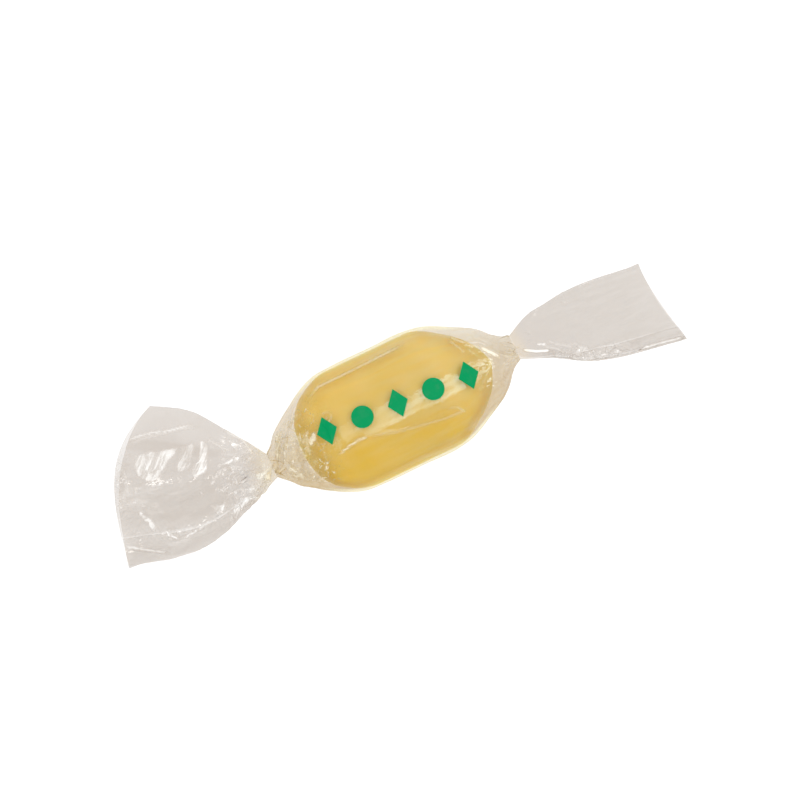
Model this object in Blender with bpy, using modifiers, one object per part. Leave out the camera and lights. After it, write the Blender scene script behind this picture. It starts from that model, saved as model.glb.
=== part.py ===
# A boiled sweet in a clear twist wrapper: the sweet itself, and one rolled sheet of film
# that hugs it, is twisted shut beyond both its ends and fans out into two flat tails.
# The sweet lies along X, the tails are at -X and +X, +Z is up and Z = 0 is the table.
# Sizes below are in millimetres.

import bpy
import bmesh
from math import cos, sin, pi, radians, sqrt, copysign
from mathutils import Vector

MM = 0.001

# The sweet: its two ends differ, the left one blunt and the right one drawn to a nose.
CANDY_WIDTH = 15.1
CANDY_HEIGHT = 11.2
CANDY_SECTION = 2.45        # superellipse exponent of its cross-section
CANDY_ENDS = {              # side: tip, where the straight flanks stop, roundness of the end
    -1: {"tip": 13.3, "flank": 5.8, "round": 2.2},
    +1: {"tip": 13.1, "flank": 4.8, "round": 1.5},
}
CANDY_SEGMENTS = 40
CANDY_RINGS = 22

# The film round the sweet.
FILM_WALL = 0.15
SLEEVE_HEIGHT = 12.4        # over the film, top to bottom
FLAT_SPOT_DEPTH = 0.1       # how much of the round underside is pressed flat on the table
AXIS_HEIGHT = SLEEVE_HEIGHT / 2 - FLAT_SPOT_DEPTH
SLEEVE_SECTION = 2.55       # superellipse exponent over the sweet; the twists are round
SLEEVE_PROFILE = [          # X, half width: the outline from one twist to the other
    (-17.3, 1.55), (-16.4, 2.35), (-15.5, 3.60), (-14.0, 4.75), (-12.5, 5.80),
    (-11.0, 6.75), (-9.5, 7.45), (-8.0, 7.90), (-5.5, 8.00), (0.0, 8.00),
    (4.8, 8.00), (7.0, 7.55), (8.5, 6.90), (10.0, 6.10), (11.5, 5.30),
    (13.0, 4.35), (14.5, 2.95), (15.4, 2.10), (16.3, 1.65),
]
POUCH_LENGTH = 6.5          # the gathered film between a twist and the sweet's shoulder

# The pleats gathered in the twists, and how far each end is turned against the sleeve.
PLEATS = 8
PLEAT_DEPTH = {"twist": 0.11, "pouch": 0.07, "tail": 0.55}
TWIST_LENGTH = 5.0          # over which the turning happens, half of it in the tail
TWIST_ANGLE = {-1: radians(90), +1: radians(-80)}

# The tails. Each is the flattened end of the tube, spread between a top and a bottom edge
# that curve out from the twist. The three points of an edge are root, pull and corner.
TAILS = {
    -1: {
        "top": [(-17.3, 1.55, 6.1), (-20.5, 9.5, 8.6), (-27.4, 13.2, 12.6)],
        "bottom": [(-17.3, -1.55, 6.1), (-27.8, -8.4, 5.6), (-39.2, -3.9, 2.4)],
        "mouth_bow": 3.2,   # how far the cut edge bulges out past its corners' chord
        "wave": 0.9,        # how far the cut edge swings up and down between its corners
        "dome": 1.7,        # how far the front panel stands off the back one
        "panel": (0.16, 0.90),
        "pleats": 3.5,
    },
    +1: {
        "top": [(16.3, 1.65, 6.1), (23.0, 5.6, 8.2), (35.1, 2.9, 10.6)],
        "bottom": [(16.3, -1.65, 6.1), (25.6, -7.1, 4.4), (36.3, -7.75, 3.4)],
        "mouth_bow": -0.35,
        "wave": -0.4,
        "dome": 0.5,
        "panel": (0.05, 0.80),
        "pleats": 2.5,
    },
}
TAIL_HALF_GAP = 0.42        # half the thickness over both layers of a tail
ROOT_BLEND = 0.3            # share of a tail's length that turns from round to flat

FILM_SEGMENTS = 44
TAIL_STATIONS = 14
TWIST_STATIONS = 6
SLEEVE_STATIONS = 18

CANDY_COLOUR = (0.76, 0.53, 0.17, 1.0)
FILM_COLOUR = (0.72, 0.66, 0.58, 0.35)


def lerp(a, b, share):
    return a + (b - a) * share


def smooth(value, start, end):
    share = min(1.0, max(0.0, (value - start) / (end - start)))
    return share * share * (3 - 2 * share)


def rounded(value, exponent):
    # One coordinate of a superellipse, from the cosine or sine of its angle.
    return copysign(abs(value) ** (2 / exponent), value)


def profile_at(table, x):
    # A smooth curve through the table's points, with slopes taken from the neighbours.
    last = len(table) - 1
    at = next((k for k in range(last) if x <= table[k + 1][0]), last - 1)
    (x0, y0), (x1, y1) = table[at], table[at + 1]

    def slope(k):
        low, high = table[max(0, k - 1)], table[min(last, k + 1)]
        return (high[1] - low[1]) / (high[0] - low[0])

    span = x1 - x0
    t = (x - x0) / span
    start = (1 + 2 * t) * (1 - t) ** 2 * y0 + t * (1 - t) ** 2 * span * slope(at)
    end = t * t * (3 - 2 * t) * y1 + t * t * (t - 1) * span * slope(at + 1)
    return start + end


def bezier(points, t):
    root, pull, corner = (Vector(p) for p in points)
    return root * (1 - t) ** 2 + pull * (2 * t * (1 - t)) + corner * (t * t)


def pleat_wave(angle):
    # A zigzag of uneven pleats round the film, from -1 to 1.
    turn = PLEATS * angle / (2 * pi) + 0.28 * sin(2 * angle + 0.7) + 0.2 * sin(3 * angle)
    return 4 * abs(turn % 1 - 0.5) - 1


def sleeve_point(x, around):
    # The film from one twist to the other. around is the film's own angle, 0 at +Y.
    first, last = SLEEVE_PROFILE[0][0], SLEEVE_PROFILE[-1][0]
    side = copysign(1, x)
    from_twist = x - first if side < 0 else last - x
    twisted = 1 - smooth(from_twist, -TWIST_LENGTH / 2, TWIST_LENGTH / 2)
    angle = around + TWIST_ANGLE[side] * twisted
    half_width = profile_at(SLEEVE_PROFILE, x)
    over_candy = smooth(from_twist, 1.0, POUCH_LENGTH)
    section = lerp(2.0, SLEEVE_SECTION, over_candy)
    height_share = lerp(1.0, SLEEVE_HEIGHT / (2 * 8.0), over_candy)
    at_twist = PLEAT_DEPTH["twist"] * (1 - smooth(from_twist, 0, 2.5))
    in_pouch = PLEAT_DEPTH["pouch"] * smooth(from_twist, 0, 2.5)
    in_pouch *= 1 - smooth(from_twist, 2.5, POUCH_LENGTH)
    swell = 1 + (at_twist + in_pouch) * pleat_wave(around)
    y = half_width * swell * rounded(cos(angle), section)
    z = half_width * height_share * swell * rounded(sin(angle), section)
    return Vector((x, y, max(0.0, AXIS_HEIGHT + z)))


def tail_point(side, t, around):
    # The film of a tail, t of the way from its twist to its cut edge.
    tail = TAILS[side]
    top_root, bottom_root = Vector(tail["top"][0]), Vector(tail["bottom"][0])
    from_twist = t * (top_root - Vector(tail["top"][2])).length
    twisted = smooth(from_twist, -TWIST_LENGTH / 2, TWIST_LENGTH / 2)
    angle = around + TWIST_ANGLE[side] * twisted
    across = (1 - cos(angle)) / 2                      # 0 at the top edge, 1 at the bottom
    layer = copysign(1, sin(angle))                    # front layer up, back layer down
    top, bottom = bezier(tail["top"], t), bezier(tail["bottom"], t)
    spread = bottom - top
    outwards = Vector((spread.y, -spread.x, 0)).normalized() * -side
    outwards = outwards if outwards.x * side > 0 else -outwards
    up = spread.cross(outwards)
    up = up.normalized() if up.z > 0 else -up.normalized()
    middle = top.lerp(bottom, across)
    middle += outwards * (tail["mouth_bow"] * 4 * across * (1 - across) * t * t)
    flat = smooth(t, 0, ROOT_BLEND)
    wave = tail["wave"] * sin(2 * pi * across) * t * t
    pleat = PLEAT_DEPTH["tail"] * sin(2 * pi * tail["pleats"] * across + 0.6)
    pleat *= smooth(t, 0.04, ROOT_BLEND) * (1 - t) ** 2 * 4 * across * (1 - across)
    low, high = tail["panel"]
    bulge = max(0.0, sin(pi * min(1.0, max(0.0, (across - low) / (high - low)))))
    dome = tail["dome"] * bulge * smooth(t, 0.1, 0.6) * (0.55 + 0.45 * (1 - t))
    gathered = 1 + PLEAT_DEPTH["twist"] * pleat_wave(around) * (1 - smooth(t, 0, 0.1))
    round_half = (top_root - bottom_root).length / 2 * gathered
    half = lerp(round_half, TAIL_HALF_GAP, flat) * abs(sin(angle)) ** lerp(1.0, 0.5, flat)
    lift = layer * half + wave + pleat + (dome if layer > 0 else 0.0)
    return middle + up * lift


def film_rings():
    # Rings of points from the left cut edge to the right one, all with the same segments.
    first, last = SLEEVE_PROFILE[0][0], SLEEVE_PROFILE[-1][0]
    angles = [2 * pi * k / FILM_SEGMENTS for k in range(FILM_SEGMENTS)]
    tail_shares = [(k / TAIL_STATIONS) ** 1.2 for k in range(1, TAIL_STATIONS + 1)]
    near = [2.6 * k / TWIST_STATIONS for k in range(TWIST_STATIONS)]
    length = last - first - 2 * 2.6
    middle = [first + 2.6 + length * k / SLEEVE_STATIONS for k in range(SLEEVE_STATIONS + 1)]
    sleeve = [first + d for d in near] + middle + [last - d for d in reversed(near)]
    rings = [[tail_point(-1, t, a) for a in angles] for t in reversed(tail_shares)]
    rings += [[sleeve_point(x, a) for a in angles] for x in sleeve]
    rings += [[tail_point(1, t, a) for a in angles] for t in tail_shares]
    return rings


def material(name, colour, roughness):
    made = bpy.data.materials.new(name)
    made.use_nodes = True
    shader = made.node_tree.nodes["Principled BSDF"]
    shader.inputs["Base Color"].default_value = (*colour[:3], 1.0)
    shader.inputs["Alpha"].default_value = colour[3]
    shader.inputs["Roughness"].default_value = roughness
    shader.inputs["Metallic"].default_value = 0.0
    return made


def add_object(name, mesh, finish, collection):
    mesh.shade_smooth()
    made = bpy.data.objects.new(name, mesh)
    made.data.materials.append(finish)
    collection.objects.link(made)
    return made


def make_candy(collection):
    # A sphere along X, each point moved out to the sweet's flanks, ends and section.
    body = bmesh.new()
    bmesh.ops.create_uvsphere(body, u_segments=CANDY_SEGMENTS, v_segments=CANDY_RINGS, radius=1)
    for vertex in body.verts:
        along, y, z = vertex.co.z, vertex.co.y, -vertex.co.x
        reach = sqrt(y * y + z * z)
        end = CANDY_ENDS[-1 if along < 0 else 1]
        power = 2 / end["round"]
        beyond = (end["tip"] - end["flank"]) * abs(along) ** power
        x = copysign(end["flank"] + beyond, along) if abs(along) > 1e-6 else -0.5
        size = reach ** power
        cosine, sine = (y / reach, z / reach) if reach > 1e-9 else (0.0, 0.0)
        vertex.co = (
            x,
            CANDY_WIDTH / 2 * size * rounded(cosine, CANDY_SECTION),
            AXIS_HEIGHT + CANDY_HEIGHT / 2 * size * rounded(sine, CANDY_SECTION),
        )
    bmesh.ops.scale(body, vec=(MM, MM, MM), verts=body.verts)
    bmesh.ops.recalc_face_normals(body, faces=body.faces)
    mesh = bpy.data.meshes.new("candy")
    body.to_mesh(mesh)
    body.free()
    return add_object("candy", mesh, material("candy", CANDY_COLOUR, 0.3), collection)


def make_wrapper(collection):
    # The film as an open tube lofted through its rings, thickened inwards to a wall.
    tube = bmesh.new()
    rows = [[tube.verts.new(point * MM) for point in ring] for ring in film_rings()]
    for row, following in zip(rows, rows[1:]):
        for k in range(FILM_SEGMENTS):
            nearby = (k + 1) % FILM_SEGMENTS
            tube.faces.new((row[k], row[nearby], following[nearby], following[k]))
    mesh = bpy.data.meshes.new("wrapper")
    tube.to_mesh(mesh)
    tube.free()
    wrapper = add_object("wrapper", mesh, material("film", FILM_COLOUR, 0.1), collection)
    wall = wrapper.modifiers.new("wall", "SOLIDIFY")
    wall.thickness = FILM_WALL * MM
    wall.offset = -1
    return wrapper


def main():
    for old in list(bpy.data.objects):
        bpy.data.objects.remove(old)
    collection = bpy.data.collections.new("wrapped_candy")
    bpy.context.scene.collection.children.link(collection)
    make_candy(collection)
    make_wrapper(collection)


main()
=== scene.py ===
import bpy
import numpy as np
from math import cos, sin, pi, radians
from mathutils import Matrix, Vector


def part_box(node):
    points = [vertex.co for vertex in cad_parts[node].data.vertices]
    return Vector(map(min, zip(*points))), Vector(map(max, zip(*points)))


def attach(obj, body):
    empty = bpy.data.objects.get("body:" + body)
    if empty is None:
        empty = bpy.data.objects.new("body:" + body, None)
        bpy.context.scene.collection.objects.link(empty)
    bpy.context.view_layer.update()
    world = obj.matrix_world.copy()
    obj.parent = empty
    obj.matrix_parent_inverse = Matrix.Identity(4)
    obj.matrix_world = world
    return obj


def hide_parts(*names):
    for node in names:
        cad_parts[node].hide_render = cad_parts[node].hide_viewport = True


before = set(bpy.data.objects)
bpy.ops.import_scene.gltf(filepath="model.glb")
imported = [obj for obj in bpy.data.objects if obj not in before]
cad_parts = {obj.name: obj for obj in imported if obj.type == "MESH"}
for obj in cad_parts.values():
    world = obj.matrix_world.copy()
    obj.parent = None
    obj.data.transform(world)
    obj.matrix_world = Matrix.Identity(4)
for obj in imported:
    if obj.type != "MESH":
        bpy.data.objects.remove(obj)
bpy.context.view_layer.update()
mm = 0.001
print("frame loaded:", ", ".join(sorted(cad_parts)))


# Shader maths as Python expressions

class Field:
    # one output socket, with operators that add Math nodes to its tree

    def __init__(self, tree, socket):
        self.tree = tree
        self.socket = socket

    def math(self, operation, *others):
        return self.tree.node("ShaderNodeMath", {"operation": operation}, [self, *others])

    def __add__(self, other):
        return self.math("ADD", other)

    def __sub__(self, other):
        return self.math("SUBTRACT", other)

    def __rsub__(self, other):
        return self.tree.node("ShaderNodeMath", {"operation": "SUBTRACT"}, [other, self])

    def __mul__(self, other):
        return self.math("MULTIPLY", other)

    def __rtruediv__(self, other):
        return self.tree.node("ShaderNodeMath", {"operation": "DIVIDE"}, [other, self])

    def clamped(self, low=0.0, high=1.0):
        return self.math("MAXIMUM", low).math("MINIMUM", high)

    def ramp(self, low, high):
        # 0 below low, 1 above high, smooth between
        return self.tree.node(
            "ShaderNodeMapRange", {"interpolation_type": "SMOOTHSTEP"},
            {"Value": self, "From Min": low, "From Max": high}, "Result")

    def axis(self, name):
        return self.tree.node("ShaderNodeSeparateXYZ", {}, [self], name)


class Tree:
    # a material or geometry node tree; node() adds a node of any kind

    def __init__(self, nodeTree):
        self.nodeTree = nodeTree

    def node(self, kind, settings=None, values=None, output=0):
        made = self.nodeTree.nodes.new(kind)
        for name, value in (settings or {}).items():
            setattr(made, name, value)
        pairs = values.items() if isinstance(values, dict) else enumerate(values or [])
        for name, value in pairs:
            if isinstance(value, Field):
                self.nodeTree.links.new(value.socket, made.inputs[name])
            else:
                made.inputs[name].default_value = value
        return Field(self, made.outputs[output]) if made.outputs else made

    def mixColour(self, share, first, second):
        return self.node(
            "ShaderNodeMix", {"data_type": "RGBA"}, {0: share, 6: first, 7: second}, 2)

    def scaled(self, vector, by):
        return self.node(
            "ShaderNodeVectorMath", {"operation": "SCALE"}, {"Vector": vector, "Scale": by})

    def place(self):
        return self.node("ShaderNodeTexCoord", output="Object")

    def noise(self, place, scale, **settings):
        # scale is in features a metre
        return self.node("ShaderNodeTexNoise", {}, {"Vector": place, "Scale": scale, **settings})

    def attribute(self, name):
        return self.node("ShaderNodeAttribute", {"attribute_name": name}, output="Fac")


def newMaterial(name):
    material = bpy.data.materials.new(name)
    material.use_nodes = True
    tree = Tree(material.node_tree)
    for old in list(material.node_tree.nodes):
        material.node_tree.nodes.remove(old)
    return material, tree


def newGeometryTree(name, inputs):
    # inputs: label -> (socket type, value); returns the tree and its inputs as fields
    nodeTree = bpy.data.node_groups.new(name, "GeometryNodeTree")
    nodeTree.interface.new_socket("Geometry", in_out="INPUT", socket_type="NodeSocketGeometry")
    nodeTree.interface.new_socket("Geometry", in_out="OUTPUT", socket_type="NodeSocketGeometry")
    for label, (socketType, value) in inputs.items():
        socket = nodeTree.interface.new_socket(label, in_out="INPUT", socket_type=socketType)
        if value is not None:
            socket.default_value = value
    tree = Tree(nodeTree)
    entry = nodeTree.nodes.new("NodeGroupInput")
    return tree, {socket.name: Field(tree, socket) for socket in entry.outputs if socket.name}


def endGeometryTree(tree, geometry, material):
    realized = tree.node("GeometryNodeRealizeInstances", {}, {"Geometry": geometry})
    finished = tree.node("GeometryNodeSetMaterial", {}, {"Geometry": realized, "Material": material})
    tree.node("NodeGroupOutput", {}, {0: finished})


def runGeometryTree(piece, tree, values):
    # the modifier's result becomes the piece's plain mesh
    modifier = piece.modifiers.new(tree.nodeTree.name, "NODES")
    modifier.node_group = tree.nodeTree
    for item in tree.nodeTree.interface.items_tree:
        if item.in_out == "INPUT" and item.name in values:
            modifier[item.identifier] = values[item.name]
    graph = bpy.context.evaluated_depsgraph_get()
    made = bpy.data.meshes.new_from_object(
        piece.evaluated_get(graph), preserve_all_data_layers=True, depsgraph=graph)
    piece.modifiers.remove(modifier)
    made.name = piece.name
    piece.data = made


def smooth(value, start, end):
    share = np.clip((value - start) / (end - start), 0, 1)
    return share * share * (3 - 2 * share)


def between(value, rise, fall):
    # rises from 0 to 1 over the first stretch and falls back to 0 over the second
    return smooth(value, *rise) * (1 - smooth(value, *fall))


def meshFromGrid(name, points, closedAround=False):
    # points is rows x columns x 3, in metres
    rows, columns = points.shape[:2]
    index = np.arange(rows * columns).reshape(rows, columns)
    nextColumn = np.roll(index, -1, axis=1) if closedAround else index[:, 1:]
    thisColumn = index if closedAround else index[:, :-1]
    quads = np.stack(
        [thisColumn[:-1], nextColumn[:-1], nextColumn[1:], thisColumn[1:]], axis=-1)
    mesh = bpy.data.meshes.new(name)
    mesh.from_pydata(points.reshape(-1, 3).tolist(), [], quads.reshape(-1, 4).tolist())
    mesh.shade_smooth()
    return mesh


def addPiece(name, mesh, material):
    piece = bpy.data.objects.new(name, mesh)
    mesh.materials.clear()
    mesh.materials.append(material)
    bpy.context.scene.collection.objects.link(piece)
    return piece


# The boiled sweet

sweet = {
    "width": 15.6,
    "height": 11.2,
    "section": 2.45,            # superellipse exponent of the cross-section
    "left": {"tip": 13.3, "flank": 5.8, "round": 2.2},
    "right": {"tip": 13.1, "flank": 4.8, "round": 1.5},
    "rings": 150,
    "segments": 160,
    "dent": 0.07,               # how uneven the cooled sugar is, in mm
    "pale": (0.765, 0.535, 0.150),
    "deep": (0.680, 0.435, 0.045),
    # lighter colour along the sweet's sides, a painted light
    "edge": (0.86, 0.66, 0.17),
    "cloudSize": 5.5,
    "roughness": 0.32,
}


def sweetMaterial():
    material, tree = newMaterial("boiledSugar")
    place = tree.place()
    cloud = tree.noise(place, 1000 / sweet["cloudSize"], Detail=3.0, Distortion=0.6)
    drawn = tree.node("ShaderNodeMapping", {}, {"Vector": place, "Scale": (0.25, 1, 1)})
    streak = tree.noise(drawn, 700.0, Detail=2.0)
    # paler towards +Y; paler towards the right end, a painted light that offsets the shade on the end's
    # downward slope
    side = place.axis("Y").ramp(-6.0 * mm, 2.5 * mm)
    end = place.axis("X").ramp(3.0 * mm, 10.0 * mm)
    share = cloud.ramp(0.3, 0.7) * 0.25 + streak.ramp(0.35, 0.7) * 0.15 + side * 0.6 + end * 0.5
    inner = tree.mixColour(share.clamped(), (*sweet["deep"], 1.0), (*sweet["pale"], 1.0))
    # lighter and more golden along the sweet's sides: painted light that offsets the shade falling
    # there
    rim = place.axis("Y").math("ABSOLUTE").ramp(6.8 * mm, 7.8 * mm)
    grain = tree.noise(place, 2600.0, Detail=2.0)
    bump = tree.node(
        "ShaderNodeBump", {}, {"Height": grain, "Strength": 0.08, "Distance": 0.0002})
    shader = tree.node("ShaderNodeBsdfPrincipled", {}, {
        "Base Color": tree.mixColour(rim, inner, (*sweet["edge"], 1.0)),
        "Roughness": grain * 0.2 + (sweet["roughness"] - 0.1),
        "Subsurface Weight": 0.45,
        "Subsurface Radius": (1.0, 0.6, 0.2),
        "Subsurface Scale": 2.5 * mm,
        "IOR": 1.5,
        "Specular IOR Level": 0.1,
        "Normal": bump,
    })
    tree.node("ShaderNodeOutputMaterial", {}, {"Surface": shader})
    return material


def sweetHalfWidth(x):
    end = np.where(x < 0, "left", "right")
    tip, flank, rounding = (
        np.where(end == "left", sweet["left"][key], sweet["right"][key])
        for key in ("tip", "flank", "round"))
    along = np.clip((np.abs(x) - flank) / (tip - flank), 0, 1) ** (rounding / 2)
    return sweet["width"] / 2 * (1 - along ** 2) ** (1 / rounding)


def makeSweet():
    low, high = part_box("candy")
    axisHeight = (low.z + high.z) / 2 / mm
    rings, segments = sweet["rings"], sweet["segments"]
    along = -np.cos(np.linspace(0, pi, rings))[:, None]         # -1 to 1, tip to tip
    around = np.linspace(0, 2 * pi, segments, endpoint=False)[None, :]
    reach = np.sqrt(np.clip(1 - along ** 2, 0, 1))
    x = np.zeros_like(along)
    size = np.zeros_like(along)
    for side, end in ((-1, sweet["left"]), (1, sweet["right"])):
        here = along * side > 0
        power = 2 / end["round"]
        beyond = (end["tip"] - end["flank"]) * np.abs(along) ** power
        x = np.where(here, side * (end["flank"] + beyond), x)
        size = np.where(here, reach ** power, size)
    power = 2 / sweet["section"]
    y = sweet["width"] / 2 * size * np.sign(np.cos(around)) * np.abs(np.cos(around)) ** power
    z = sweet["height"] / 2 * size * np.sign(np.sin(around)) * np.abs(np.sin(around)) ** power
    x = x + np.zeros_like(y)
    wobble = np.sin(x * 0.55 + 1.3) * np.cos(y * 0.8 + z * 0.5)
    wobble += 0.5 * np.sin(x * 1.1 + y * 1.4 + 2.0) * np.sin(z * 1.2 + 0.4)
    typicalRadius = 7.5
    inward = 1 - sweet["dent"] / typicalRadius * (1 + wobble)
    points = np.stack([x * inward, y * inward, axisHeight + z * inward], axis=-1) * mm
    mesh = meshFromGrid("boiledSweet", points, closedAround=True)
    piece = addPiece("boiledSweet", mesh, sweetMaterial())
    print("boiled sweet:", len(mesh.polygons), "faces")
    return piece


# The film: one sheet rolled round the sweet, twisted and fanned out at both ends

film = {
    "turns": 1.13,              # how far the sheet goes round the sweet
    "freeEdge": 58,             # where its outer edge lies, in degrees from +Y towards +Z
    "layerGap": 0.10,
    "columns": 236,
    "sleeveRows": 190,
    "tailRows": 110,
    "crowding": 1.15,           # above 1, a tail's rows lie closer near the twist
    "width": 16.0,
    "height": 12.4,
    "flatSpot": 0.1,
    "section": 2.55,
    "profile": [                # X, half width over the sweet and its pouches
        (-17.3, 1.55), (-16.4, 2.30), (-15.5, 3.45), (-14.0, 4.60), (-12.5, 5.60),
        (-11.0, 6.55), (-9.5, 7.30), (-8.0, 7.80), (-5.5, 8.00), (0.0, 8.00),
        (4.8, 8.00), (7.0, 7.55), (8.5, 6.90), (10.0, 6.10), (11.5, 5.30),
        (13.0, 4.35), (14.5, 2.80), (15.4, 1.92), (16.3, 1.60),
    ],
    "waistShift": 0.3,          # how far the right twist lies off the axis
    "pouch": 6.5,               # how far from a twist the sleeve gets the sweet's cross-section
    "twistLength": 8.0,
    "twistAngle": {-1: 150, 1: 150},
    "gather": 0.13,             # how deep the folds are at a twist, as a share of its radius
    "rootBlend": 0.3,           # share of a tail over which the twist flattens out
    "bigFolds": 26,
    "smallFolds": 64,
    "seed": 11,
    # colours of the cloudy film: away from the sweet, and with painted warm and amber light from the
    # sweet near it and over it; then of its white folds and painted highlights, away from the sweet and
    # near it
    "haze": (0.265, 0.165, 0.075),
    "hazeInSweetLight": (0.52, 0.33, 0.05),
    "hazeInAmberSweetLight": (0.84, 0.70, 0.13),
    "whiteFoldsAndHighlights": (1.0, 0.98, 0.95),
    "creamFoldsAndHighlights": (1.0, 0.92, 0.71),
    "gloss": (1.0, 0.98, 0.95),
    "glossOverSweet": (0.6, 0.93, 1.0),
    "mostGloss": 0.16,
    "cloud": {"tails": 0.27, "pouches": 0.32, "sweet": 0.03, "rim": 0.27},
    "crumpledSheet": (130.0, 80.0),
    "tailPaths": (23, 20),      # how much of the crumpled sheet each tail takes
    "rollRadius": 8,            # how much of it each radian round the sweet takes
    "ridgeReach": 0.32,         # half the width of a fine fold, and of its white line
    "lineReach": 0.25,
    # fine folds over the sweet: rise, how white they show (partly painted highlight, partly the
    # whitening of a creased film), route
    "creases": [
        (0.12, 0.9, [(-9.1, -2.4), (-7.9, -2.1), (-6.4, -1.8), (-4.9, -1.9)]),
        (0.03, 0.5, [(-7.3, -2.1), (-6.7, -2.0), (-6.0, -2.0)]),
        (0.03, 0.6, [(-11.1, 0.3), (-10.8, -0.6)]),
        (0.03, 0.5, [(-8.9, 3.0), (-8.1, 3.0)]),
        (0.03, 0.5, [(-9.1, 2.3), (-8.4, 2.5)]),
        (0.03, 0.5, [(-11.4, 2.1), (-11.8, 1.5), (-12.2, 0.4), (-12.5, -1.0)]),
        (0.03, 0.5, [(-14.7, 3.2), (-15.4, 2.0), (-16.2, 0.1)]),
        (0.03, 0.5, [(-13.9, 2.0), (-12.7, 1.6), (-12.5, 0.6)]),
        (0.03, 0.4, [(-12.2, 4.4), (-13.0, 3.2), (-13.0, 2.5)]),
        (0.03, 0.6, [(-15.3, -2.5), (-14.3, -3.0)]),
        (0.03, 0.5, [(-15.1, -2.4), (-14.3, -2.7)]),
        (0.03, 0.4, [(-10.7, -1.1), (-10.7, -1.8), (-11.6, -3.6)]),
        (0.03, 0.4, [(-15.4, 1.1), (-14.6, 1.6), (-14.2, 2.4)]),
        (0.03, 0.4, [(-17.3, -0.9), (-15.9, -1.1), (-14.8, -2.1)]),
        (0.1, 0.5, [(9.4, 5.2), (10.1, 4.2), (11.4, 2.9), (12.5, 1.9)]),
        (0.14, 1.0, [(12.4, 2.1), (13.2, 1.0), (14.0, 0.0)]),
        (0.1, 0.5, [(9.3, 4.5), (9.8, 3.5), (10.5, 2.3)]),
        (0.03, 0.4, [(10.8, 2.7), (11.5, 1.6), (11.7, 1.2)]),
        (0.03, 0.4, [(13.1, 0.3), (12.4, -0.6), (10.6, -2.3)]),
        (0.03, 0.4, [(14.4, 0.2), (15.0, -0.4), (16.1, -0.3)]),
        (0.03, 0.3, [(13.9, -1.1), (14.9, -0.9), (16.2, -0.6)]),
        (0.06, 0.5, [(-5.4, -1.8), (-1.5, -3.0), (4.5, -4.0), (7.2, -4.2), (6.6, -3.4), (4.6, -2.7)]),
        (0.0, 0.6, [(-9.8, 5.4), (-8.0, 6.3), (4.0, 6.5)]),
    ],
    # painted highlights, white drawn on the film's facets: strength, corners
    "shadeLiftOverEnd": 0.2,                # how much painted light lifts the shaded crumples over the sweet's left end
    "glints": [
        (1.0, [
            (-11.0, 1.6), (-10.4, 1.4), (-10.9, 0.5), (-11.6, 0.1), (-12.0, 0.0), (-11.9, 0.7),
            (-11.3, 1.3)]),
        (0.9, [
            (-8.1, 3.0), (-7.8, 2.6), (-7.9, 2.2), (-8.2, 1.8), (-8.8, 1.6), (-8.8, 2.0),
            (-8.2, 2.2), (-8.1, 2.7)]),
        (0.9, [(-14.5, 0.5), (-13.8, 0.5), (-14.1, 0.0), (-14.3, 0.2)]),
        (1.0, [(-13.3, 0.2), (-12.7, 0.3), (-12.6, 0.0), (-13.1, -0.2)]),
        (0.9, [(-13.2, -0.4), (-12.8, -0.4), (-13.1, -0.7), (-13.4, -0.7)]),
        (0.8, [(-13.9, -0.7), (-13.5, -0.9), (-13.7, -1.2), (-14.0, -1.1)]),
        (0.6, [(-12.2, 1.9), (-11.9, 1.7), (-12.2, 0.8), (-12.5, 0.8)]),
        (0.7, [(-16.8, 1.1), (-16.6, 1.0), (-17.1, 0.2), (-17.3, 0.3)]),
        (0.6, [(-17.2, 0.2), (-16.6, 0.0), (-16.9, -0.5), (-17.4, -0.4)]),
        (0.8, [(10.0, -2.4), (10.5, -2.3), (10.4, -2.8), (9.9, -2.9)]),
        (0.7, [(16.3, 0.6), (16.8, 0.0), (16.2, 0.0)]),
        (0.6, [(15.5, 0.5), (16.0, 0.2), (15.9, 0.0), (15.4, 0.2)]),
    ],
}

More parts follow.
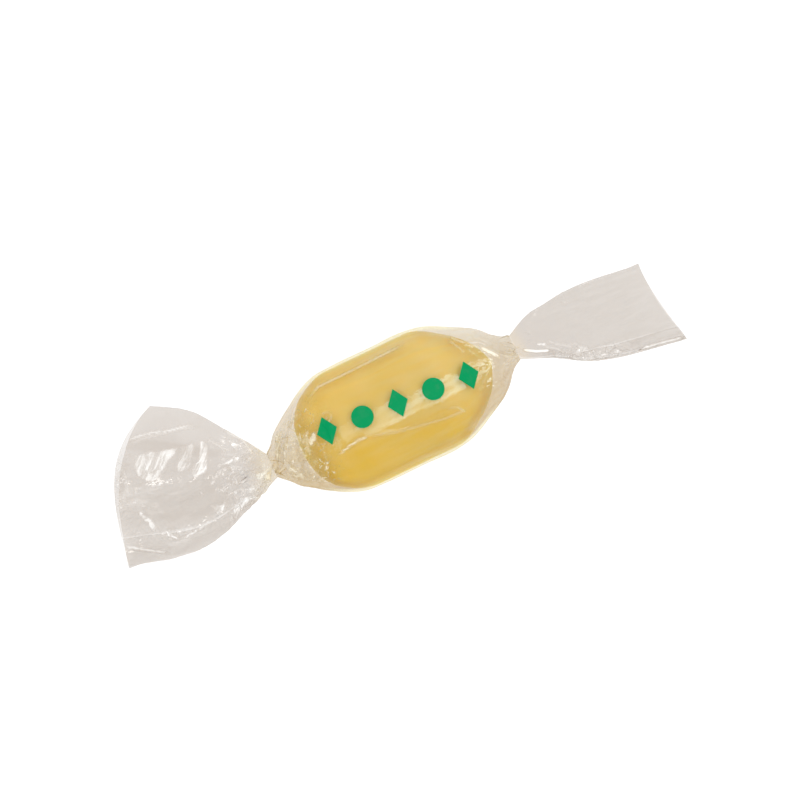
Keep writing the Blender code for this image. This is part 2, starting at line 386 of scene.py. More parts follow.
tails = {
    -1: {
        "top": [(-17.3, 1.55, 6.1), (-20.2, 6.05, 7.8), (-24.3, 11.2, 11.2), (-27.6, 13.2, 12.6)],
        "bottom": [(-17.3, -1.55, 6.1), (-23.2, -3.95, 5.4), (-28.0, -5.45, 4.4), (-39.2, -3.9, 2.4)],
        "mouthBow": 3.3,
        "wave": 0.4,
        "halfGap": 0.3,
        "frontShort": 0.035,    # share of its length by which the front layer ends sooner
        # across the front layer, from its top edge: place at the mouth, how fast it leaves
        # its edge along the tail, and rise as a share of the drop from top to bottom edge
        "front": [
            (0.00, 0.0, 0.0), (0.205, 2.4, 0.01), (0.23, 2.4, 0.03), (0.30, 1.6, 0.10),
            (0.43, 1.0, 0.245), (0.58, 0.4, 0.22),
            (0.76, -0.4, 0.13), (0.88, -3.0, 0.035), (0.90, -3.0, 0.045), (1.00, 0.0, 0.0),
        ],
        "pleats": 0.3,
        # as on the sleeve
        "creases": [
            (0.03, 0.8, [
                (-32.4, 10.5), (-30.8, 10.4), (-29.1, 10.1), (-26.9, 9.4), (-25.3, 9.1),
                (-24.0, 8.9)]),
            (0.03, 0.5, [
                (-32.6, 9.9), (-30.6, 9.9), (-29.3, 9.7), (-27.7, 9.3), (-25.7, 9.0),
                (-23.3, 8.2)]),
            (0.03, 0.8, [(-26.7, 3.0), (-25.1, 3.0)]),
            (0.03, 0.7, [(-20.9, 6.5), (-19.3, 4.6), (-19.0, 3.2), (-18.8, 2.1)]),
            (0.03, 0.5, [(-20.4, 6.2), (-19.4, 5.0), (-18.4, 3.4), (-17.4, 1.4)]),
            (0.03, 0.5, [(-23.7, 3.1), (-22.5, 2.8), (-20.6, 2.7)]),
            (0.03, 0.4, [(-24.0, 2.3), (-22.3, 2.1), (-20.3, 0.7)]),
            (0.03, 0.7, [(-31.2, -3.3), (-29.9, -3.2), (-28.5, -3.0), (-27.0, -2.8)]),
            (0.0, 0.8, [(-38.7, -1.2), (-36.2, -2.7), (-33.8, -4.2)]),
            (0.03, 0.5, [(-20.4, -0.8), (-18.9, -0.5), (-17.6, -0.1)]),
            (0.03, 0.4, [(-23.1, -3.4), (-21.2, -3.0), (-18.7, -2.3)]),
            (0.03, 0.4, [(-22.9, 3.5), (-21.9, 4.1), (-22.1, 5.3), (-23.0, 6.6)]),
            (0.03, 0.5, [(-23.2, 6.5), (-22.1, 4.8), (-21.0, 3.8)]),
            (0.03, 0.5, [(-34.2, 8.0), (-34.2, 6.6), (-35.1, 4.6)]),
        ],
        "glints": [
            (0.87, [
                (-32.2, 8.5), (-30.2, 8.0), (-28.6, 7.5), (-26.7, 7.0), (-27.6, 6.4), (-28.8, 6.0),
                (-29.7, 5.4), (-30.8, 4.6), (-32.0, 5.1), (-32.9, 6.0), (-32.7, 7.1)]),
            (0.7, [
                (-26.5, 6.9), (-25.1, 6.8), (-24.9, 6.2), (-26.1, 4.9), (-26.8, 4.1), (-28.2, 4.3),
                (-28.0, 5.1), (-27.1, 6.2)]),
            (0.95, [
                (-24.1, 6.6), (-23.3, 6.3), (-23.7, 5.1), (-24.9, 3.1), (-26.1, 3.0), (-26.8, 3.1),
                (-26.6, 3.9), (-26.2, 4.4), (-25.3, 4.6), (-24.6, 5.5)]),
            (0.8, [(-32.1, 4.7), (-31.0, 4.5), (-29.4, 4.1), (-29.4, 3.9), (-31.0, 4.1), (-31.9, 4.3)]),
            (0.9, [(-26.9, 1.2), (-26.6, 0.8), (-26.7, 0.4), (-26.9, 0.7)]),
            (0.8, [(-25.3, 1.6), (-24.6, 1.7), (-24.7, 1.3), (-25.2, 1.2)]),
            (1.0, [
                (-26.5, -1.1), (-24.7, -1.7), (-25.2, -2.3), (-26.1, -2.7), (-26.2, -2.3),
                (-26.2, -1.6)]),
            (0.9, [
                (-35.0, 1.8), (-34.6, 1.7), (-34.3, 0.8), (-33.8, 0.3), (-33.8, -0.4),
                (-33.5, -1.1), (-33.7, -1.5), (-34.5, -1.0), (-34.7, 0.0), (-35.0, 1.0)]),
            (0.9, [(-36.6, 4.1), (-36.3, 4.0), (-36.5, 2.8), (-36.9, 2.9)]),
            (0.7, [(-35.0, 3.2), (-34.4, 3.3), (-34.7, 2.7), (-35.1, 2.7)]),
            (0.7, [(-34.2, 2.5), (-33.5, 2.1), (-33.8, 1.9), (-34.2, 2.2)]),
            (0.7, [(-33.6, 5.7), (-33.2, 5.5), (-33.9, 4.1), (-34.2, 4.3)]),
            (0.4, [
                (-36.0, 6.4), (-35.5, 6.3), (-35.5, 4.6), (-35.3, 4.2), (-35.9, 3.1), (-36.4, 4.2),
                (-36.4, 5.2)]),
            (0.8, [(-21.2, 5.9), (-20.6, 5.1), (-19.9, 4.1), (-20.5, 3.4), (-20.8, 4.3), (-21.0, 5.3)]),
            (0.5, [(-19.5, 3.7), (-19.2, 2.7), (-19.2, 2.0), (-19.5, 1.5), (-20.3, 2.1), (-20.0, 2.9)]),
            (0.7, [(-22.4, 2.9), (-21.4, 2.9), (-20.6, 2.8), (-20.8, 2.4), (-21.7, 2.4), (-22.6, 2.6)]),
            (0.9, [(-19.6, 0.0), (-17.9, -0.5), (-18.2, -1.5), (-19.7, -1.0), (-19.8, -0.4)]),
            (0.7, [(-17.4, 0.6), (-17.1, 0.5), (-17.9, -1.0), (-18.1, -0.9)]),
            (1.0, [
                (-22.7, -1.9), (-21.8, -2.2), (-21.0, -2.2), (-20.6, -2.8), (-21.9, -2.8),
                (-22.7, -3.1), (-23.2, -3.2), (-23.0, -2.5)]),
            (0.8, [(-23.9, -2.3), (-23.0, -2.5), (-23.3, -3.3), (-24.1, -4.0), (-24.6, -4.1)]),
            (0.7, [(-21.2, -1.3), (-20.0, -1.2), (-20.1, -2.0), (-21.1, -2.1), (-21.4, -1.9)]),
            (0.9, [(-23.0, -0.8), (-22.6, -1.0), (-22.8, -1.4), (-23.2, -1.2)]),
            (0.9, [
                (-33.6, -1.4), (-32.4, -1.6), (-32.4, -2.0), (-31.7, -2.9), (-32.0, -3.0),
                (-32.8, -2.2), (-33.7, -1.6)]),
        ],
    },
    1: {
        "top": [(16.3, 1.9, 6.1), (19.0, 3.1, 7.4), (23.5, 3.85, 8.8), (34.6, 3.1, 10.6)],
        "bottom": [(16.3, -1.3, 6.1), (19.3, -2.55, 5.4), (24.2, -5.2, 4.4), (36.5, -7.95, 3.4)],
        "mouthBow": -0.35,
        "wave": -0.3,
        "halfGap": 0.25,
        "frontShort": 0.012,
        "front": [
            (0.00, 0.0, 0.0), (0.30, 0.6, 0.03), (0.70, 0.1, 0.02), (0.89, 0.15, 0.036),
            (0.935, 0.03, 0.045), (0.965, 0.0, 0.04), (0.95, 0.0, 0.02), (1.00, 0.0, 0.0),
        ],
        "pleats": 0.05,
        "creases": [
            (0.0, 1.0, [(17.2, -0.5), (18.6, -1.3), (20.1, -1.9)]),
            (0.03, 0.5, [(20.3, -0.6), (21.1, -1.4), (22.1, -2.1), (23.1, -2.8)]),
            (0.03, 0.5, [(19.6, -1.1), (21.0, -2.0), (21.8, -3.0)]),
            (0.03, 0.4, [(21.4, -1.4), (22.6, -2.2), (23.9, -2.7)]),
            (0.08, 0.9, [(30.6, -6.6), (31.5, -6.7), (33.7, -7.1), (36.2, -7.6)]),
            (0.03, 0.5, [(32.3, -7.2), (34.1, -7.7), (36.0, -8.0)]),
            (0.03, 0.4, [(23.9, 3.1), (24.7, 2.4)]),
            (0.03, 0.3, [(15.9, 0.4), (17.1, 0.1), (18.8, 0.3)]),
        ],
        "glints": [
            (1.0, [(17.3, -0.4), (18.7, -1.2), (20.2, -1.8), (20.1, -2.0), (18.5, -1.4), (17.3, -0.6)]),
            (0.9, [(19.0, -0.4), (20.2, -0.8), (20.0, -1.2), (19.0, -0.7)]),
            (0.8, [(18.3, 1.5), (18.8, 1.0), (18.6, 0.9), (18.3, 1.3)]),
            (1.0, [(22.9, -3.2), (23.7, -3.2), (23.8, -4.1), (22.9, -4.1)]),
            (0.6, [(23.5, -2.7), (24.7, -3.5), (24.3, -3.9), (23.6, -3.4)]),
            (0.9, [(25.6, -4.9), (26.4, -5.0), (26.4, -5.4), (25.8, -5.3)]),
            (0.6, [(26.4, -5.2), (27.7, -5.5), (27.6, -5.7), (26.4, -5.5)]),
            (1.0, [(27.4, -5.3), (28.1, -5.3), (28.1, -5.8), (27.5, -5.7)]),
            (0.6, [(22.3, 3.5), (23.7, 3.7), (23.9, 3.5), (22.7, 3.3)]),
            (0.4, [(27.0, 3.7), (28.1, 3.5), (28.2, 3.2), (27.0, 3.4)]),
            (0.7, [(30.4, -6.6), (31.6, -6.6), (31.5, -6.8), (30.5, -6.8)]),
        ],
    },
}


def smoothProfile(table, x):
    # a smooth curve through the table's points
    xs = np.array([row[0] for row in table])
    ys = np.array([row[1] for row in table])
    slopes = np.gradient(ys, xs)
    at = np.clip(np.searchsorted(xs, x, side="right") - 1, 0, len(xs) - 2)
    span = xs[at + 1] - xs[at]
    t = (x - xs[at]) / span
    start = (1 + 2 * t) * (1 - t) ** 2 * ys[at] + t * (1 - t) ** 2 * span * slopes[at]
    end = t * t * (3 - 2 * t) * ys[at + 1] + t * t * (t - 1) * span * slopes[at + 1]
    return start + end


def foldLine(seed, count, low, high):
    # a function of the film's angle: straight slopes between folds of uneven height
    chance = np.random.default_rng(seed)
    spots = (np.arange(count) + chance.uniform(0.15, 0.85, count)) / count
    heights = chance.uniform(0.35, 1.0, count) * np.where(np.arange(count) % 2, 1, -1)
    return lambda angle: np.interp(angle, low + (high - low) * spots, heights)


def edgeCurve(points, t):
    # a smooth curve through the points; t runs from 0 to 1 with the distance along them
    points = np.array(points)
    reached = np.append(0, np.cumsum(np.linalg.norm(np.diff(points, axis=0), axis=1)))
    reached = reached / reached[-1]
    return np.stack(
        [smoothProfile(np.column_stack([reached, values]), t) for values in points.T], axis=-1)


def unit(vectors):
    return vectors / np.linalg.norm(vectors, axis=-1, keepdims=True)


def superCircle(angle, exponent):
    power = 2 / exponent
    c, s = np.cos(angle), np.sin(angle)
    return np.sign(c) * np.abs(c) ** power, np.sign(s) * np.abs(s) ** power


def fromRoute(x, y, route):
    # distance to the broken line through the route's points, and how far along it that is
    route = np.array(route)
    lengths = np.linalg.norm(np.diff(route, axis=0), axis=1)
    done, away, share = 0.0, 99 + 0 * (x + y), 0 * (x + y)
    for start, end, length in zip(route, route[1:], lengths):
        along = (end - start) / length
        run = np.clip((x - start[0]) * along[0] + (y - start[1]) * along[1], 0, length)
        here = np.hypot(x - start[0] - run * along[0], y - start[1] - run * along[1])
        share = np.where(here < away, (done + run) / lengths.sum(), share)
        away = np.minimum(here, away)
        done += length
    return away, share


def ridged(x, y, creases):
    # heights of the fine folds
    heights = 0 * (x + y)
    for rise, _, route in creases:
        away, share = fromRoute(x, y, route)
        taper = smooth(share, 0, 0.15) * (1 - smooth(share, 0.85, 1))
        heights += rise * taper * np.clip(1 - away / film["ridgeReach"], 0, 1)
    return heights


def whiteLines(x, y, creases):
    # how white each spot is from the fine folds that cross it: partly painted highlight, partly the
    # whitening of a creased film
    shown = 0 * (x + y)
    for _, white, route in creases:
        away, share = fromRoute(x, y, route)
        taper = smooth(share, -0.05, 0.15) * (1 - smooth(share, 0.85, 1.05))
        line = np.clip(1.4 * (1 - away / film["lineReach"]), 0, 1)
        shown = np.maximum(shown, white * taper * line)
    return shown


def shining(x, y, glints):
    # painted highlights: 1 inside the facets, 0 outside, times their strength
    shown = 0 * (x + y)
    for strength, corners in glints:
        loop = corners + corners[:1]
        inside = np.zeros(shown.shape, bool)
        for (startX, startY), (endX, endY) in zip(loop, loop[1:]):
            if startY != endY:
                crossing = startX + (endX - startX) * (y - startY) / (endY - startY)
                inside ^= ((startY > y) != (endY > y)) & (x < crossing)
        away = fromRoute(x, y, loop)[0]
        shown = np.maximum(shown, strength * smooth(np.where(inside, away, -away), -0.12, 0.15))
    return shown


def sleevePoints(x, angles, turn, folds):
    first, last = film["profile"][0][0], film["profile"][-1][0]
    x = x[:, None]
    angles = angles[None, :]
    leftSide = x < 0
    fromTwist = np.where(leftSide, x - first, last - x)
    half = film["twistLength"] / 2
    twisted = 1 - smooth(fromTwist, -half, half)
    twist = np.where(leftSide, radians(film["twistAngle"][-1]), radians(film["twistAngle"][1]))
    angle = angles + twist * twisted
    overSweet = smooth(fromTwist, 1.0, film["pouch"])
    heightShare = 1.0 + (film["height"] / film["width"] - 1.0) * overSweet
    atTwist = film["gather"] * (1 - smooth(fromTwist, 0, 2.5))
    inPouch = 0.035 * smooth(fromTwist, 0, 2.5) * (1 - smooth(fromTwist, 2.5, film["pouch"] + 1.5))
    swell = 1 + (atTwist + inPouch) * folds[None, :]
    radius = smoothProfile(film["profile"], x) * swell + film["layerGap"] * turn[None, :]
    across, height = superCircle(angle, 2.0 + (film["section"] - 2.0) * overSweet)
    y = radius * across + film["waistShift"] * smooth(x, 14.0, last)
    z = radius * heightShare * height
    onTop = z > 1
    z = z + ridged(x, y, film["creases"]) * onTop
    axisHeight = film["height"] / 2 - film["flatSpot"]
    points = np.stack([x + np.zeros_like(y), y, axisHeight + z], axis=-1)
    shown = {
        "crease": whiteLines(x, y, film["creases"]) * onTop,
        "glint": shining(x, y, film["glints"]) * onTop,
    }
    return points, shown


def alongPath(share, places, heights):
    # the point that share of the way along a broken line, for each row of the tail, and
    # how far it is hidden where the line runs back under itself
    mouthWidth, least = 20, 1e-4
    steps = np.sqrt(
        (mouthWidth * np.diff(places, axis=0)) ** 2 + np.diff(heights, axis=0) ** 2) + least
    reached = np.concatenate([np.zeros_like(steps[:1]), np.cumsum(steps, axis=0)])
    place, height = places[0] + 0 * share, heights[0] + 0 * share
    hidden = 0 * place
    for k in range(len(steps)):
        part = np.clip((share * reached[-1] - reached[k]) / steps[k], 0, 1)
        place = place + part * (places[k + 1] - places[k])
        height = height + part * (heights[k + 1] - heights[k])
        here = (part > 0) & (part < 1)
        hidden = np.where(here & (places[k + 1] < places[k]), 1.0, hidden)
        if k + 2 < len(places):
            hidden = np.where(here & (places[k + 2] < places[k + 1]), 0.7, hidden)
    return place, height, hidden


def foldPlace(atMouth, leaving, t):
    # a fold's place across the tail; a positive power starts it at the top edge near the
    # twist, a negative one at the bottom edge
    if leaving > 0:
        return atMouth * t ** leaving
    return 1 - (1 - atMouth) * t ** -leaving if leaving < 0 else atMouth + 0 * t


def tailPoints(side, t, angles, turn, folds):
    tail = tails[side]
    topRoot, bottomRoot = np.array(tail["top"][0]), np.array(tail["bottom"][0])
    reach = np.linalg.norm(topRoot - np.array(tail["top"][2]))
    t = t[:, None]
    half = film["twistLength"] / 2
    angle = angles[None, :] + radians(film["twistAngle"][side]) * smooth(t * reach, -half, half)
    turned = np.mod(angle, 2 * pi)
    inFront = turned < pi
    layer = np.where(inFront, 1.0, -1.0)
    evenly = np.where(inFront, turned, 2 * pi - turned) / pi
    t = t * np.where(inFront, 1 - tail["frontShort"] * np.sin(pi * evenly), 1.0)
    flat = smooth(t, 0, film["rootBlend"])
    places = np.array([foldPlace(atMouth, leaving, t) for atMouth, leaving, _ in tail["front"]])
    top, bottom = edgeCurve(tail["top"], t), edgeCurve(tail["bottom"], t)
    drop = top[..., 2] - bottom[..., 2]
    heights = np.array([rise * drop for _, _, rise in tail["front"]])
    place, height, hidden = alongPath(evenly, places, heights)
    place = np.where(inFront, place, evenly)
    height = np.where(inFront, height, 0.0)
    across = (1 - np.cos(angle)) / 2 * (1 - flat) + place * flat
    spread = bottom - top
    outwards = np.stack([spread[..., 1], -spread[..., 0], 0 * spread[..., 0]], axis=-1)
    outwards = unit(outwards * np.sign(outwards[..., :1] * side))
    up = np.cross(spread, outwards)
    up = unit(up * np.sign(up[..., 2:]))
    bow = tail["mouthBow"] * 4 * across * (1 - across) * (1.28 - 0.58 * across) * t * t
    middle = top + spread * across[..., None] + outwards * bow[..., None]
    gathered = 1 + film["gather"] * folds[None, :] * (1 - smooth(t, 0, 0.1))
    roundHalf = np.linalg.norm(topRoot - bottomRoot) / 2 * gathered
    thick = roundHalf * (1 - flat) + tail["halfGap"] * flat
    thick = thick * np.abs(np.sin(pi * evenly)) ** (1 - 0.5 * flat)
    wave = tail["wave"] * np.sin(2 * pi * across) * t * t
    pleat = tail["pleats"] * folds[None, :] * smooth(t, 0.02, 0.25) * np.clip(1 - t, 0, 1) ** 1.5
    lift = layer * (thick + film["layerGap"] * turn[None, :]) + wave + pleat + height * flat
    lift = lift + ridged(middle[..., 0], middle[..., 1], tail["creases"]) * inFront
    points = middle + up * lift[..., None]
    x, y = points[..., 0], points[..., 1]
    shown = {
        "crease": whiteLines(x, y, tail["creases"]) * inFront,
        "glint": shining(x, y, tail["glints"]) * inFront,
    }
    return points, place, inFront, hidden * inFront, shown


crumple = {
    "Big facet": 4.2,           # mm
    "Big depth": 1.1,
    "Small facet": 0.95,
    "Small depth": 0.3,
    "Seed": 4,
}


def facetField(tree, given, facet, depth, seedStep, sheet):
    # heights of a coarse random crumpled sheet, straight between its corners; its cells are
    # half as long again across the sheet as along it
    long, wide = film["crumpledSheet"]
    counts = [(size / given[facet]).math("CEIL") for size in (long, wide / 1.5)]
    grid = tree.node("GeometryNodeMeshGrid", {}, {
        "Size X": long, "Size Y": wide, "Vertices X": counts[0], "Vertices Y": counts[1]})
    shift = given[facet] * 0.42
    reach = tree.node("ShaderNodeCombineXYZ", {}, [shift, shift, given[depth]])
    back = tree.scaled(reach, -1.0)
    chance = tree.node(
        "FunctionNodeRandomValue", {"data_type": "FLOAT_VECTOR"},
        {"Min": back, "Max": reach, "Seed": given["Seed"] + seedStep})
    crumpled = tree.node("GeometryNodeSetPosition", {}, {"Geometry": grid, "Offset": chance})
    crumpled = tree.node(
        "GeometryNodeTriangulate", {"quad_method": "SHORTEST_DIAGONAL"}, {"Mesh": crumpled})
    above = tree.node("ShaderNodeVectorMath", {"operation": "ADD"}, [sheet, (0.0, 0.0, 20.0)])
    hit = tree.node("GeometryNodeRaycast", {}, {
        "Target Geometry": crumpled, "Source Position": above,
        "Ray Direction": (0.0, 0.0, -1.0), "Ray Length": 50.0}, "Hit Position")
    return hit.axis("Z")


def crumpleTree(material):
    tree, given = newGeometryTree("crumpledFilm", {
        "Big facet": ("NodeSocketFloat", 4.0), "Big depth": ("NodeSocketFloat", 0.5),
        "Small facet": ("NodeSocketFloat", 1.2), "Small depth": ("NodeSocketFloat", 0.15),
        "Seed": ("NodeSocketInt", 0)})
    sheet = tree.node(
        "GeometryNodeInputNamedAttribute", {"data_type": "FLOAT_VECTOR"}, {"Name": "sheet"})
    height = None
    for facet, depth, weight, step in (
            ("Big facet", "Big depth", "bigLoose", 1), ("Small facet", "Small depth", "smallLoose", 2)):
        loose = tree.node(
            "GeometryNodeInputNamedAttribute", {"data_type": "FLOAT"}, {"Name": weight})
        part = facetField(tree, given, facet, depth, step, sheet) * loose
        height = part if height is None else height + part
    outward = tree.node("GeometryNodeInputNormal")
    moved = tree.node("GeometryNodeSetPosition", {}, {
        "Geometry": given["Geometry"], "Offset": tree.scaled(outward, height * mm)})
    endGeometryTree(tree, moved, material)
    return tree


def filmMaterial():
    material, tree = newMaterial("clearFilm")
    place = tree.place()
    cloud, tint, loose, crease, glint, shine = (
        tree.attribute(name)
        for name in ("cloud", "tint", "smallLoose", "crease", "glint", "shine"))
    stir = tree.node(
        "ShaderNodeTexNoise", {}, {"Vector": place, "Scale": 500.0, "Detail": 2.0}, "Color")
    stirred = tree.node("ShaderNodeVectorMath", {}, [place, tree.scaled(stir, 1.2 * mm)])
    facets, lines = None, None
    for size, depth in ((1.6, 1.0), (0.6, 0.4)):
        cells = tree.node(
            "ShaderNodeTexVoronoi", {"feature": "DISTANCE_TO_EDGE"},
            {"Vector": stirred, "Scale": 1000 / size}, "Distance")
        line = 1 - cells.ramp(0.0, 0.09 / size)
        facets = cells * depth if facets is None else facets + cells * depth
        lines = line if lines is None else lines * 0.7 + line * 0.3
    bump = tree.node("ShaderNodeBump", {}, {
        "Height": facets * (loose * loose * 1.5 + 0.03), "Strength": 0.7, "Distance": 0.0006})
    patch = tree.node(
        "ShaderNodeTexVoronoi", {}, {"Vector": stirred, "Scale": 330.0}, "Color")
    patch = patch.axis("X") - 0.5
    broken = tree.noise(place, 1800.0, Detail=2.0)
    drawn = tree.node("ShaderNodeMapping", {"vector_type": "TEXTURE"}, {
        "Vector": place, "Rotation": (0, 0, radians(42)), "Scale": (6, 1, 1)})
    streak = tree.noise(drawn, 1500.0, Detail=3.0, Distortion=0.4)
    # painted highlights: white along the fine folds (partly the whitening of a creased film), in the
    # glint facets and along the crumples' cell edges; the white also makes the haze more opaque
    white = crease * (broken.ramp(0.2, 0.5) * 0.5 + 0.5)
    white = white + glint * (streak.ramp(0.38, 0.62) * 0.6 + 0.4)
    sweetLightClamped = tint.clamped()
    strokes = lines * (broken.ramp(0.48, 0.6) * sweetLightClamped + (1 - sweetLightClamped) * 0.6)
    white = (strokes * (loose - 0.1).clamped(0, 0.9) + white).clamped()
    # painted warm light from the sweet: the haze turns warm near and over the sweet and amber on its
    # rim, and the white folds and highlights turn cream there
    plain = tree.mixColour(sweetLightClamped, (*film["haze"], 1.0), (*film["hazeInSweetLight"], 1.0))
    plain = tree.mixColour((tint - 1).clamped(), plain, (*film["hazeInAmberSweetLight"], 1.0))
    light = tree.mixColour(sweetLightClamped, (*film["whiteFoldsAndHighlights"], 1.0), (*film["creamFoldsAndHighlights"], 1.0))
    haze = tree.node("ShaderNodeBsdfPrincipled", {}, {
        "Base Color": tree.mixColour(white, plain, light),
        "Roughness": 0.5,
        "Specular IOR Level": 0.0,
        "Normal": bump,
    })
    clear = tree.node("ShaderNodeBsdfTransparent", {}, {"Color": (1, 1, 1, 1)})
    cloudy = cloud * (patch * loose.clamped() * 0.5 + 1.0)
    cloudy = cloudy + (1 - cloudy) * white * 0.75
    body = tree.node("ShaderNodeMixShader", {}, [cloudy.clamped(), clear, haze])
    mirrored = tree.node("ShaderNodeFresnel", {}, {"IOR": 1.5, "Normal": bump})
    along = tree.node("ShaderNodeMapping", {}, {"Vector": place, "Scale": (0.12, 1, 1)})
    sheen = tree.noise(along, 1400.0, Detail=2.0)
    gloss = tree.node("ShaderNodeBsdfAnisotropic", {}, {
        "Color": tree.mixColour(
            (sweetLightClamped - cloud * 1.5).clamped(), (*film["gloss"], 1.0), (*film["glossOverSweet"], 1.0)),
        "Roughness": 0.05,
        "Normal": bump,
    })
    mirrored = (mirrored * (cloud * 3.5 + 1.2 - sweetLightClamped * 0.15)).clamped()
    mirrored = mirrored.math("MINIMUM", film["mostGloss"] - sweetLightClamped * 0.085)
    mirrored = mirrored * (sheen.ramp(0.3, 0.7) * 0.9 + 0.5) * shine
    surface = tree.node("ShaderNodeMixShader", {}, [mirrored, body, gloss])
    tree.node("ShaderNodeOutputMaterial", {}, {"Surface": surface})
    return material


def addAttribute(mesh, name, kind, values):
    layer = mesh.attributes.new(name, kind, "POINT")
    field = "vector" if kind == "FLOAT_VECTOR" else "value"
    layer.data.foreach_set(field, np.ascontiguousarray(values, dtype=np.float32).ravel())


def leftTailLooks(t, place, inFront):
    # how loosely each spot lies, for big and small facets, how cloudy it is, how much of the sweet's
    # colour it shows as painted warm light from the sweet, and how much it shines; t runs from the
    # twist to the mouth
    atMouth = smooth(t, 0.3, 0.55)
    flank = between(place, (0.24, 0.28), (0.40, 0.46))
    calm = between(place, (0.42, 0.5), (0.74, 0.8)) * atMouth
    panel = between(place, (0.24, 0.3), (0.84, 0.92))
    flap = 1 - smooth(place, 0.15, 0.22)
    doubled = between(place, (0.19, 0.21), (0.25, 0.27)) * inFront * atMouth
    besideFold = (1 - smooth(place, 0.37, 0.43)) * atMouth
    openStrip = smooth(t, 0.92, 0.96) * between(place, (0.25, 0.4), (0.6, 0.8))
    small = 0.1 + panel * (0.6 - 0.5 * calm - 0.3 * flank)
    small = small + 0.4 * (1 - atMouth) * smooth(place, 0.05, 0.2)
    return {
        "bigLoose": np.where(inFront, 0.12 + panel * (0.9 - 0.65 * flank), 0.3) * smooth(t, 0.1, 0.5),
        "smallLoose": np.where(inFront, small, 0.15 + 0.8 * openStrip) * smooth(t, 0, 0.1),
        "cloud": film["cloud"]["tails"] + 0.03 * calm - 0.02 * flap + 0.06 * doubled,
        "tint": 1 - smooth(t, 0, 0.25),
        "shine": (0.6 + 0.4 * smooth(t, 0, 0.3)) * (1 - besideFold),
    }


def sleeveLooks(x, y):
    first, last = film["profile"][0][0], film["profile"][-1][0]
    x = x[:, None]
    leftEnd = x < 0
    fromTwist = np.minimum(x - first, last - x)
    reach = np.where(leftEnd, 9.5, 8.0)
    atEnd = 1 - smooth(fromTwist, reach - 3.5, reach)
    side = np.abs(y) / smoothProfile(film["profile"], x)
    inside = 1 - 0.85 * smooth(side, 0.7, 0.92)
    # the film along the sweet's sides: cloudier, and carrying painted amber light from the sweet
    rim = smooth(side, 0.93, 0.98) * smooth(fromTwist, 4.0, 8.0)
    beyond = smooth(np.abs(y) - sweetHalfWidth(x), -0.8, 0.0)
    besideSweet = np.maximum(1 - smooth(fromTwist, 3.0, np.where(leftEnd, 7.5, 6.0)), beyond)
    besideSweet = besideSweet * (1 - np.clip(y / 14, -0.3, 0.3))
    overSweet = (1 - beyond) * (1 - smooth(fromTwist, 3.0, 7.5))
    cloud = film["cloud"]["pouches"] + 0.03 * smooth(fromTwist, 0, 2.5)
    cloud = (film["cloud"]["sweet"] + besideSweet * cloud) * (1 - rim) + film["cloud"]["rim"] * rim
    small = 0.03 + np.where(leftEnd, 1.1, 0.25) * atEnd * smooth(fromTwist, 0, 2)
    return {
        "bigLoose": (0.08 + np.where(leftEnd, 0.3, 0.15) * atEnd) * inside,
        "smallLoose": small * inside,
        "cloud": cloud,
        # painted warm light from the sweet over and beside it, and painted amber light on the rim
        "tint": 1 - 0.25 * smooth(x, 11, 14) + np.maximum(rim, 0.6 * overSweet),
        "shine": 0.5 + 0.5 * smooth(x, -6, 1),
    }


def rightTailLooks(t, place, hidden):
    lowBand = between(place, (0.70, 0.85), (0.94, 0.99))
    small = 0.03 + 0.6 * lowBand * (1 - smooth(t, 0.6, 0.85))
    return {
        "bigLoose": (0.12 + 0.1 * lowBand) * smooth(t, 0.05, 0.3),
        "smallLoose": small * smooth(t, 0.1, 0.25),
        "cloud": film["cloud"]["tails"] * (1 - 0.8 * hidden),
        # painted warm light from the sweet near the twist
        "tint": 0.75 - 0.75 * smooth(t, 0, 0.12),
        "shine": smooth(t, 0.1, 0.5),
    }


